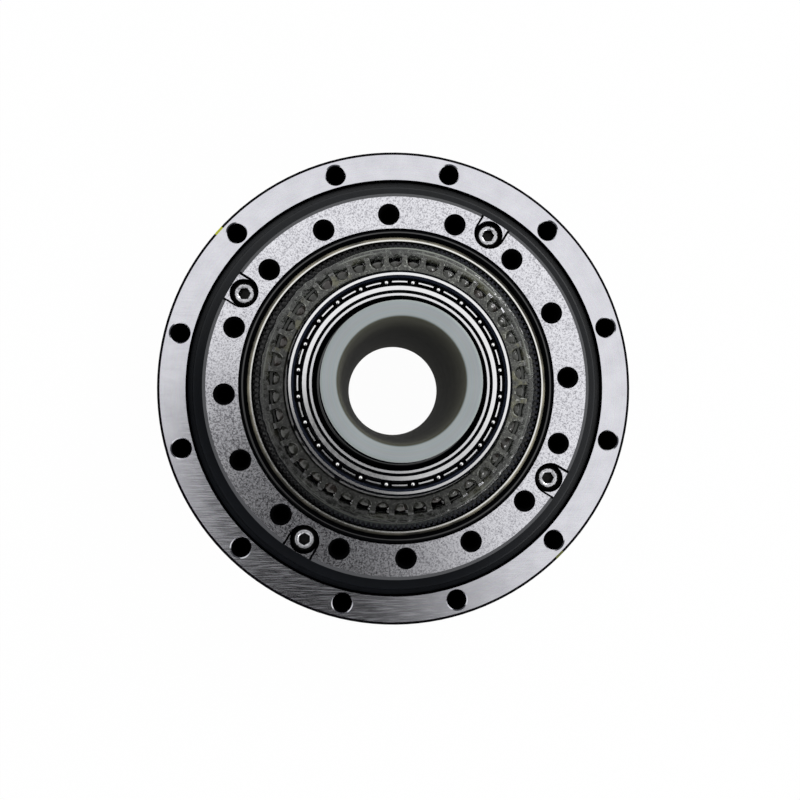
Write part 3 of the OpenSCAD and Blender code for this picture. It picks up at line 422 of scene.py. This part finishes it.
def blackRubber():  # nitrile cord, oiled: black, with a painted highlight, a thin line of shine along its crown
    made, tree, body, point = newMaterial("oiled_rubber_cord", {"Roughness": 0.1})
    _, tone = mottle(tree, point, 0.9, 2.0, "030304", "0b0c0e")
    crown = addNode(tree, "ShaderNodeMapRange", {"From Min": 0.972, "From Max": 0.995, "To Min": 0.01},
                    {"Value": lookUp(tree, "Normal")})
    feed(tree, body, {"Base Color": tone, "Specular IOR Level": crown})
    return made


cage = {"circle": 43.16, "hollows": 42, "first": 5.616, "hollow": 1.18, "ridge": 0.16,
        "left smear": (140, 0.8, 0.95), "right smear": (4, 0.9, 0.98), "worn side": (235, -0.3, 0.8)}


def greasedResin():  # phenolic crown cage under grease: olive black, wet, with painted highlights on the ridges round its hollows, painted curling glints, and painted shade towards one side
    made, tree, body, point = newMaterial("greased_phenolic", {"Roughness": 0.28, "Coat Roughness": 0.08})
    cloud, dim = mottle(tree, point, 1.1, 4.0, "0c0d0b", "22241f", 0.6)
    grain = addNode(tree, "ShaderNodeTexNoise", {"Scale": 1 / 0.45, "Detail": 3.0, "Distortion": 1.0}, {"Vector": point})
    spread = addNode(tree, "ShaderNodeMapRange", {"From Min": 0.4, "From Max": 0.6}, {"Value": grain})
    pale = addNode(tree, "ShaderNodeMix", {"data_type": "RGBA", 6: srgb("262823"), 7: srgb("5a5c53")}, {0: cloud})
    tone = addNode(tree, "ShaderNodeMix", {"data_type": "RGBA"}, {0: spread, 6: dim, 7: pale})
    # painted highlight: broken pale lines on the ridges round the hollows
    gap = spotReach(tree, point, cage["circle"], cage["hollows"], cage["first"], 1)
    ridge = ringMask(tree, gap, cage["hollow"], cage["hollow"] + cage["ridge"])
    broken = addNode(tree, "ShaderNodeMapRange", {"From Min": 0.55, "From Max": 0.66}, {"Value": cloud})
    paintedGlint = addNode(tree, "ShaderNodeMath", {"operation": "MULTIPLY"}, {0: ridge, 1: broken})
    curls = threads(tree, point, 0.9, 0.02)
    sparse = addNode(tree, "ShaderNodeMath", {"operation": "MULTIPLY"}, {0: curls, 1: spread})
    lit = addNode(tree, "ShaderNodeMath", {"operation": "MAXIMUM"}, {0: paintedGlint, 1: sparse})
    left = sideOf(tree, point, *cage["left smear"])
    right = sideOf(tree, point, *cage["right smear"])
    sides = addNode(tree, "ShaderNodeMath", {"operation": "MAXIMUM"}, {0: left, 1: right})
    drift = addNode(tree, "ShaderNodeTexNoise", {"Scale": 1 / 1.7, "Detail": 2.0}, {"Vector": point})
    thick = addNode(tree, "ShaderNodeMapRange", {"From Min": 0.5, "From Max": 0.62, "To Max": 0.85}, {"Value": drift})
    patched = addNode(tree, "ShaderNodeMath", {"operation": "MULTIPLY"}, {0: sides, 1: thick})
    fresh = addNode(tree, "ShaderNodeMix", {"data_type": "RGBA", 7: srgb("67664a")}, {0: patched, 6: tone})
    edged = addNode(tree, "ShaderNodeMix", {"data_type": "RGBA", 7: srgb("aeb1a9")}, {0: lit, 6: fresh})
    # painted shade: darker and less wet towards one side
    shadowed, shade = dimSide(tree, point, edged, cage["worn side"], "909090")
    wet = addNode(tree, "ShaderNodeMapRange", {"To Min": 1.0, "To Max": 0.25}, {"Value": shadowed})
    height = addNode(tree, "ShaderNodeMath", {"operation": "MULTIPLY_ADD", 1: 0.35}, {0: grain, 2: cloud})
    bump = addNode(tree, "ShaderNodeBump", {"Strength": 0.9, "Distance": 0.14 * mm}, {"Height": height})
    feed(tree, body, {"Base Color": shade, "Coat Weight": wet, "Normal": bump, "Coat Normal": bump})
    return made


race = {"gapShade": (23.95, 24.3), "beadHighlight": (23.66, 23.88), "edge": (24.38, 24.8), "worn side": (240, -0.3, 0.8)}


def workedGrease():  # lithium grease worked grey: olive and wet, pale and yellowish where it is thick; a painted dark gap line, a painted highlight line, painted curling glints and painted shade towards one side
    made, tree, body, point = newMaterial("worked_lithium_grease", {"Roughness": 0.24, "Coat Roughness": 0.06})
    cloud = addNode(tree, "ShaderNodeTexNoise", {"Scale": 1 / 0.9, "Detail": 4.0}, {"Vector": point})
    drift = addNode(tree, "ShaderNodeTexNoise", {"Scale": 1 / 7, "Detail": 1.0}, {"Vector": point})
    grain = addNode(tree, "ShaderNodeTexNoise", {"Scale": 1 / 0.3, "Detail": 3.0}, {"Vector": point})
    spread = addNode(tree, "ShaderNodeMapRange", {"From Min": 0.32, "From Max": 0.68}, {"Value": cloud})
    thick = addNode(tree, "ShaderNodeMapRange", {"From Min": 0.5, "From Max": 0.68}, {"Value": drift})
    olive = addNode(tree, "ShaderNodeMix", {"data_type": "RGBA", 6: srgb("10110f"), 7: srgb("2d302b")}, {0: spread})
    yellow = addNode(tree, "ShaderNodeMix", {"data_type": "RGBA", 6: srgb("27281d"), 7: srgb("5b5b45")}, {0: spread})
    tone = addNode(tree, "ShaderNodeMix", {"data_type": "RGBA"}, {0: thick, 6: olive, 7: yellow})
    curls = threads(tree, point, 0.8, 0.02)
    reach = reachOf(tree, point)
    # painted shade: a dark gap line; painted highlight: a broken pale line
    gapShade = ringMask(tree, reach, *race["gapShade"])
    line = ringMask(tree, reach, *race["beadHighlight"])
    broken = addNode(tree, "ShaderNodeMapRange", {"From Min": 0.38, "From Max": 0.6, "To Max": 0.75}, {"Value": drift})
    beadHighlight = addNode(tree, "ShaderNodeMath", {"operation": "MULTIPLY"}, {0: line, 1: broken})
    paintedGlint = addNode(tree, "ShaderNodeMath", {"operation": "MAXIMUM"}, {0: beadHighlight, 1: curls})
    dim = addNode(tree, "ShaderNodeMix", {"data_type": "RGBA", 7: srgb("0d0e0d")}, {0: gapShade, 6: tone})
    edged = addNode(tree, "ShaderNodeMix", {"data_type": "RGBA", 7: srgb("868b84")}, {0: paintedGlint, 6: dim})
    # painted shade: darker and less wet towards one side
    shadowed, shade = dimSide(tree, point, edged, race["worn side"], "909090")
    wet = addNode(tree, "ShaderNodeMapRange", {"To Min": 1.0, "To Max": 0.2}, {"Value": shadowed})
    height = addNode(tree, "ShaderNodeMath", {"operation": "MULTIPLY_ADD", 1: 0.4}, {0: grain, 2: cloud})
    bump = addNode(tree, "ShaderNodeBump", {"Strength": 0.9, "Distance": 0.09 * mm}, {"Height": height})
    feed(tree, body, {"Base Color": shade, "Coat Weight": wet, "Normal": bump, "Coat Normal": bump})
    return made


def greasedSteel():  # the outer race, ground steel under a film of grease: dull olive sheen, with a painted highlight along its edge and painted shade towards one side
    made, tree, body, point = newMaterial("greased_race_steel", {"Roughness": 0.28, "Metallic": 0.4, "Coat Weight": 0.3,
                                                                 "Coat Roughness": 0.1})
    cloud, tone = mottle(tree, point, 1.2, 4.0, "26282a", "4f514b")
    # painted highlight: a pale line along the race's edge
    line = ringMask(tree, reachOf(tree, point), *race["edge"])
    edged = addNode(tree, "ShaderNodeMix", {"data_type": "RGBA", 7: srgb("8b9088")}, {0: line, 6: tone})
    # painted shade: darker towards one side
    _, shade = dimSide(tree, point, edged, race["worn side"], "909090")
    bump = addNode(tree, "ShaderNodeBump", {"Strength": 0.7, "Distance": 0.08 * mm}, {"Height": cloud})
    feed(tree, body, {"Base Color": shade, "Normal": bump})
    return made


def sunkGrease():  # grease deep in the hollows: near black as painted shade, wet, a little rusty
    made, tree, body, point = newMaterial("sunken_lithium_grease", {"Roughness": 0.2, "Coat Weight": 0.5,
                                                                    "Coat Roughness": 0.05})
    cloud, tone = mottle(tree, point, 0.8, 3.0, "10110f", "42443c")
    drift = addNode(tree, "ShaderNodeTexNoise", {"Scale": 1 / 3, "Detail": 1.0}, {"Vector": point})
    rusty = addNode(tree, "ShaderNodeMapRange", {"From Min": 0.52, "From Max": 0.66, "To Max": 0.7}, {"Value": drift})
    bump = addNode(tree, "ShaderNodeBump", {"Strength": 0.9, "Distance": 0.15 * mm}, {"Height": cloud})
    shade = addNode(tree, "ShaderNodeMix", {"data_type": "RGBA", 7: srgb("24120d")}, {0: rusty, 6: tone})
    feed(tree, body, {"Base Color": shade, "Normal": bump, "Coat Normal": bump})
    return made


def darkOil():  # old oil and wear dust between the teeth: blue black, wet
    made, tree, body, point = newMaterial("dark_gear_oil", {"Roughness": 0.25, "Coat Weight": 0.08, "Coat Roughness": 0.08})
    cloud, tone = mottle(tree, point, 0.7, 3.0, "030304", "121316")
    bump = addNode(tree, "ShaderNodeBump", {"Strength": 0.7, "Distance": 0.15 * mm}, {"Height": cloud})
    feed(tree, body, {"Base Color": tone, "Normal": bump})
    return made


sleeve = {"bore": 9.86, "face": 10.15}


def whiteResin():  # acetal, turned: pale blue grey face with faint lines, white dimmed as painted shade; its bore is painted dark olive as shade and takes no light
    made, tree, body, point = newMaterial("turned_white_acetal", {"Roughness": 0.45})
    lines = turnedLines(tree, point, 0.3)
    # painted shade: the face is pale blue grey, dimmer than white acetal
    cloud, soft = mottle(tree, point, 5, 2.0, "8f9698", "9aa1a3")
    pale = addNode(tree, "ShaderNodeMix", {"data_type": "RGBA", "blend_type": "OVERLAY", 0: 0.12},
                   {6: soft, 7: lines.outputs["Color"]})
    # painted shade: the bore is dark olive, with its shine off
    boreShade = addNode(tree, "ShaderNodeMix", {"data_type": "RGBA", 6: srgb("4a4a3e"), 7: srgb("5c5c54")}, {0: cloud})
    bore = addNode(tree, "ShaderNodeMapRange", {"interpolation_type": "SMOOTHSTEP", "From Min": sleeve["face"],
                                                "From Max": sleeve["bore"]}, {"Value": reachOf(tree, point)})
    shade = addNode(tree, "ShaderNodeMix", {"data_type": "RGBA"}, {0: bore, 6: pale, 7: boreShade})
    shine = addNode(tree, "ShaderNodeMapRange", {"To Min": 0.5, "To Max": 0.001}, {"Value": bore})
    bump = addNode(tree, "ShaderNodeBump", {"Strength": 0.4, "Distance": 0.006 * mm}, {"Height": lines})
    feed(tree, body, {"Base Color": shade, "Specular IOR Level": shine, "Normal": bump})
    return made


def nylon():  # roller spacers, moulded: cream
    made, tree, body, point = newMaterial("moulded_nylon", {"Roughness": 0.4})
    _, tone = mottle(tree, point, 1.0, 2.0, "cfc9b4", "e2dcc8")
    feed(tree, body, {"Base Color": tone})
    return made


finishes = [
    (groundSteel, ["bearing_outer_ring", "roller_plug", "bearing_inner_ring"]),
    (turnedIron, ["circular_spline"]),
    (lappedSteel, ["flex_inner_race", "front_inner_ring", "front_cage", "rear_inner_ring", "rear_cage"]),
    (shadedRecessSteel, ["front_outer_ring", "rear_outer_ring"]),
    (polishedBall, ["cross_rollers", "flex_balls", "front_balls", "rear_balls"]),
    (turnedSteel, ["input_shaft"]),
    (springSteel, ["flexspline", "race_ring"]),
    (blackScrew, ["spline_screws", "flange_screws", "plug_pin"]),
    (sealRubber, ["output_seal"]),
    (blackRubber, ["face_o_ring", "flange_o_ring", "sleeve_o_rings"]),
    (greasedResin, ["flex_cage"]),
    (greasedSteel, ["flex_outer_race"]),
    (whiteResin, ["cable_sleeve"]),
    (nylon, ["roller_spacers"]),
]
for finish, names in finishes:
    material = finish()
    for name in names:
        nodes[name].data.materials.clear()
        nodes[name].data.materials.append(material)
print("materials done")


def newGroup(name, titles):  # a geometry tree with its named inputs
    tree = bpy.data.node_groups.new(name, "GeometryNodeTree")
    tree.interface.new_socket("Geometry", in_out="OUTPUT", socket_type="NodeSocketGeometry")
    for title in titles:
        tree.interface.new_socket(title, in_out="INPUT", socket_type="NodeSocketFloat")
    return tree, tree.nodes.new("NodeGroupInput")


def bakeGroup(name, tree, sizes, body):  # the tree's result as a plain mesh that rides on a body
    host = bpy.data.objects.new(name, bpy.data.meshes.new(name))
    bpy.context.scene.collection.objects.link(host)
    shaper = host.modifiers.new(name, "NODES")
    shaper.node_group = tree
    for item in tree.interface.items_tree:
        if item.in_out == "INPUT":
            shaper[item.identifier] = float(sizes[item.name])
    held = host.evaluated_get(bpy.context.evaluated_depsgraph_get())
    plain = bpy.data.meshes.new_from_object(held)
    host.modifiers.clear()
    host.data = plain
    plain.name = name
    plain.shade_smooth()
    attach(host, body)


def roughen(tree, solid, scale, amount):  # pushes a surface about by a share of a noise
    spot = addNode(tree, "GeometryNodeInputPosition")
    rough = addNode(tree, "ShaderNodeTexNoise", {"Detail": 3.0}, {"Vector": spot, "Scale": scale})
    centred = addNode(tree, "ShaderNodeVectorMath", {"operation": "SUBTRACT", 1: (0.5, 0.5, 0.5)},
                      {0: rough.outputs["Color"]})
    shift = addNode(tree, "ShaderNodeVectorMath", {"operation": "SCALE"}, {0: centred, "Scale": amount})
    return addNode(tree, "GeometryNodeSetPosition", None, {0: solid, "Offset": shift})


plugs = {"Radius": 20.85, "Height": 34.4, "First Angle": math.radians(cage["first"]), "Length": 1.05, "Width": 1.45,
         "Rise": 0.8, "Scale": 0.9, "Unevenness": 0.4, "Seed": 7}


def makePlugs(material):  # a meniscus of grease in each hollow of the crown cage
    tree, given = newGroup("grease_plugs", list(plugs))
    line = addNode(tree, "GeometryNodeMeshCircle", {"Vertices": cage["hollows"]}, {"Radius": given.outputs["Radius"]})
    ball = addNode(tree, "GeometryNodeMeshUVSphere", {"Segments": 20, "Rings": 12, "Radius": 1.0})
    shape = addNode(tree, "ShaderNodeCombineXYZ", None,
                    {"X": given.outputs["Length"], "Y": given.outputs["Width"], "Z": given.outputs["Rise"]})
    spot = addNode(tree, "GeometryNodeInputPosition")
    part = addNode(tree, "ShaderNodeSeparateXYZ", None, {0: spot})
    angle = addNode(tree, "ShaderNodeMath", {"operation": "ARCTAN2"}, {0: part.outputs["Y"], 1: part.outputs["X"]})
    turn = addNode(tree, "ShaderNodeCombineXYZ", None, {"Z": angle})
    vary = addNode(tree, "FunctionNodeRandomValue", {"data_type": "FLOAT_VECTOR", 0: (0.8, 0.95, 0.7), 1: (1.4, 1.05, 1.75)},
                   {"Seed": given.outputs["Seed"]})
    sized = addNode(tree, "ShaderNodeVectorMath", {"operation": "MULTIPLY"}, {0: shape, 1: vary})
    laid = addNode(tree, "GeometryNodeInstanceOnPoints", None,
                   {"Points": line, "Instance": ball, "Rotation": turn, "Scale": sized})
    whole = addNode(tree, "GeometryNodeRealizeInstances", None, {0: laid})
    moved = roughen(tree, whole, given.outputs["Scale"], given.outputs["Unevenness"])
    rise = addNode(tree, "ShaderNodeCombineXYZ", None, {"Z": given.outputs["Height"]})
    spin = addNode(tree, "ShaderNodeCombineXYZ", None, {"Z": given.outputs["First Angle"]})
    placed = addNode(tree, "GeometryNodeTransform", None, {0: moved, "Translation": rise, "Rotation": spin})
    small = addNode(tree, "GeometryNodeTransform", {"Scale": (mm, mm, mm)}, {0: placed})
    painted = addNode(tree, "GeometryNodeSetMaterial", {"Material": material}, {0: small})
    addNode(tree, "NodeGroupOutput", None, {0: painted})
    bakeGroup("grease_plugs", tree, plugs, "wave_generator")


raceFilm = {"Radius": 23.5, "Width": 0.86, "Rise": 0.3, "Height": 33.02, "Scale": 0.6, "Unevenness": 0.7}
toothOil = {"Radius": 25.35, "Width": 0.8, "Rise": 0.4, "Height": 29.95, "Scale": 0.6, "Unevenness": 0.35}


def makeFilm(name, sizes, material, body):  # a flat bead of grease or oil round the axis
    tree, given = newGroup(name, list(sizes))
    line = addNode(tree, "GeometryNodeCurvePrimitiveCircle", {"Resolution": 480}, {"Radius": given.outputs["Radius"]})
    section = addNode(tree, "GeometryNodeCurvePrimitiveCircle", {"Resolution": 24, "Radius": 1.0})
    flat = addNode(tree, "ShaderNodeCombineXYZ", {"Z": 1.0}, {"X": given.outputs["Width"], "Y": given.outputs["Rise"]})
    oval = addNode(tree, "GeometryNodeTransform", None, {0: section, "Scale": flat})
    tube = addNode(tree, "GeometryNodeCurveToMesh", None, {0: line, 1: oval})
    moved = roughen(tree, tube, given.outputs["Scale"], given.outputs["Unevenness"])
    rise = addNode(tree, "ShaderNodeCombineXYZ", None, {"Z": given.outputs["Height"]})
    placed = addNode(tree, "GeometryNodeTransform", None, {0: moved, "Translation": rise})
    small = addNode(tree, "GeometryNodeTransform", {"Scale": (mm, mm, mm)}, {0: placed})
    whole = addNode(tree, "GeometryNodeRealizeInstances", None, {0: small})
    painted = addNode(tree, "GeometryNodeSetMaterial", {"Material": material}, {0: whole})
    addNode(tree, "NodeGroupOutput", None, {0: painted})
    bakeGroup(name, tree, sizes, body)


grease = workedGrease()
makePlugs(sunkGrease())
makeFilm("grease_film", raceFilm, grease, "wave_generator")
makeFilm("tooth_oil", toothOil, darkOil(), "housing")
print("grease done")

floorSize = {"half": 3.0, "paper": "f4f4f4", "shown white": 0.975}


def makeFloor():  # pale paper that the camera and the metal see as near white, and that keeps the shadow
    made = bpy.data.materials.new("pale_paper_floor")
    made.use_nodes = True
    tree = made.node_tree
    tree.nodes.clear()
    paper = addNode(tree, "ShaderNodeBsdfDiffuse", {"Color": srgb(floorSize["paper"])})
    white = addNode(tree, "ShaderNodeEmission", {"Color": (1, 1, 1, 1), "Strength": 1.0})
    path = addNode(tree, "ShaderNodeLightPath")
    glossy = addNode(tree, "ShaderNodeMath", {"operation": "MAXIMUM"},
                     {0: path.outputs["Is Camera Ray"], 1: path.outputs["Is Glossy Ray"]})
    seen = addNode(tree, "ShaderNodeMath", {"operation": "MAXIMUM"}, {0: glossy, 1: path.outputs["Is Transmission Ray"]})
    share = addNode(tree, "ShaderNodeMath", {"operation": "MULTIPLY", 1: floorSize["shown white"]}, {0: seen})
    mixed = addNode(tree, "ShaderNodeMixShader", None, {0: share, 1: paper, 2: white})
    addNode(tree, "ShaderNodeOutputMaterial", None, {"Surface": mixed})
    half = floorSize["half"]
    mesh = bpy.data.meshes.new("floor")
    mesh.from_pydata([(-half, -half, 0), (half, -half, 0), (half, half, 0), (-half, half, 0)], [], [(0, 1, 2, 3)])
    floor = bpy.data.objects.new("floor", mesh)
    bpy.context.scene.collection.objects.link(floor)
    mesh.materials.append(made)


dome = {"level": 0.9, "lag": 54, "lag tilt": (13.6, 17.0),  # degrees; a pair is where a fade starts and is full
        "dark start": (152, 184), "dark end": (324, 268), "dark near": (0.8, 4.8), "dark low": (60, 35), "dark depth": 0.98,
        "arc start": (260, 280), "arc end": (360, 344), "arc near": (6.6, 7.4), "arc far": (10.4, 9.2), "arc depth": 0.55}


def fade(tree, ramps):  # product of soft ramps, each from 0 to 1 over its pair
    whole = None
    for value, (start, full) in ramps:
        ramp = addNode(tree, "ShaderNodeMapRange", {"interpolation_type": "SMOOTHSTEP", "From Min": start, "From Max": full},
                       {"Value": value})
        whole = ramp if whole is None else addNode(tree, "ShaderNodeMath", {"operation": "MULTIPLY"}, {0: whole, 1: ramp})
    return whole


def makeDome():  # a soft white dome, dark to the lower left, with a dim arc low on the lower right
    world = bpy.data.worlds.new("studio_dome")
    bpy.context.scene.world = world
    world.use_nodes = True
    tree = world.node_tree
    tree.nodes.clear()
    place = addNode(tree, "ShaderNodeTexCoord")
    part = addNode(tree, "ShaderNodeSeparateXYZ", None, {0: place.outputs["Generated"]})
    angle = addNode(tree, "ShaderNodeMath", {"operation": "ARCTAN2"}, {0: part.outputs["Y"], 1: part.outputs["X"]})
    degrees = addNode(tree, "ShaderNodeMath", {"operation": "DEGREES"}, {0: angle})
    bearing = addNode(tree, "ShaderNodeMath", {"operation": "WRAP", 1: 360.0, 2: 0.0}, {0: degrees})
    lean = addNode(tree, "ShaderNodeMath", {"operation": "ARCCOSINE"}, {0: part.outputs["Z"]})
    tilt = addNode(tree, "ShaderNodeMath", {"operation": "DEGREES"}, {0: lean})
    outward = addNode(tree, "ShaderNodeMapRange", {"From Min": dome["lag tilt"][0], "From Max": dome["lag tilt"][1],
                                                   "To Max": dome["lag"]}, {"Value": tilt})
    lagged = addNode(tree, "ShaderNodeMath", {"operation": "SUBTRACT"}, {0: bearing, 1: outward})
    dark = fade(tree, [(lagged, dome["dark start"]), (bearing, dome["dark end"]),
                       (tilt, dome["dark near"]), (tilt, dome["dark low"])])
    arc = fade(tree, [(bearing, dome["arc start"]), (bearing, dome["arc end"]),
                      (tilt, dome["arc near"]), (tilt, dome["arc far"])])
    kept = addNode(tree, "ShaderNodeMapRange", {"To Min": 1.0, "To Max": 1 - dome["dark depth"]}, {"Value": dark})
    spared = addNode(tree, "ShaderNodeMapRange", {"To Min": 1.0, "To Max": 1 - dome["arc depth"]}, {"Value": arc})
    both = addNode(tree, "ShaderNodeMath", {"operation": "MULTIPLY"}, {0: kept, 1: spared})
    level = addNode(tree, "ShaderNodeMath", {"operation": "MULTIPLY", 1: dome["level"]}, {0: both})
    path = addNode(tree, "ShaderNodeLightPath")
    seen = addNode(tree, "ShaderNodeMath", {"operation": "MAXIMUM"}, {0: level, 1: path.outputs["Is Camera Ray"]})
    sky = addNode(tree, "ShaderNodeBackground", {"Color": (1, 1, 1, 1)}, {"Strength": seen})
    addNode(tree, "ShaderNodeOutputWorld", None, {"Surface": sky})


lamps = {"upper_box": {"spot": (0.9, 0.8, 0.75), "size": 0.4, "power": 5.0},
         "lower_box": {"spot": (0.7, -0.75, 0.8), "size": 0.25, "power": 2.0}}


def makeLamp(name, spot, size, power):  # a square lamp that looks at the reducer
    data = bpy.data.lights.new(name, "AREA")
    data.shape = "SQUARE"
    data.size = size
    data.energy = power
    lamp = bpy.data.objects.new(name, data)
    lamp.location = spot
    lamp.rotation_euler = (Vector((0, 0, 0.02)) - Vector(spot)).to_track_quat("-Z", "Y").to_euler()
    bpy.context.scene.collection.objects.link(lamp)


view = {"lens": 32.85, "spot": (-0.004503, -0.004858, 0.162627), "turn": (0.0175, -0.0379, 0)}


def makeCamera():
    data = bpy.data.cameras.new("camera")
    data.sensor_width = 36
    data.lens = view["lens"]
    data.clip_start = 0.01
    camera = bpy.data.objects.new("camera", data)
    camera.location = view["spot"]
    camera.rotation_euler = view["turn"]
    bpy.context.scene.collection.objects.link(camera)
    bpy.context.scene.camera = camera


makeFloor()
makeDome()
for name, lamp in lamps.items():
    makeLamp(name, **lamp)
makeCamera()
bpy.context.scene.view_settings.view_transform = "Standard"
print("studio done")
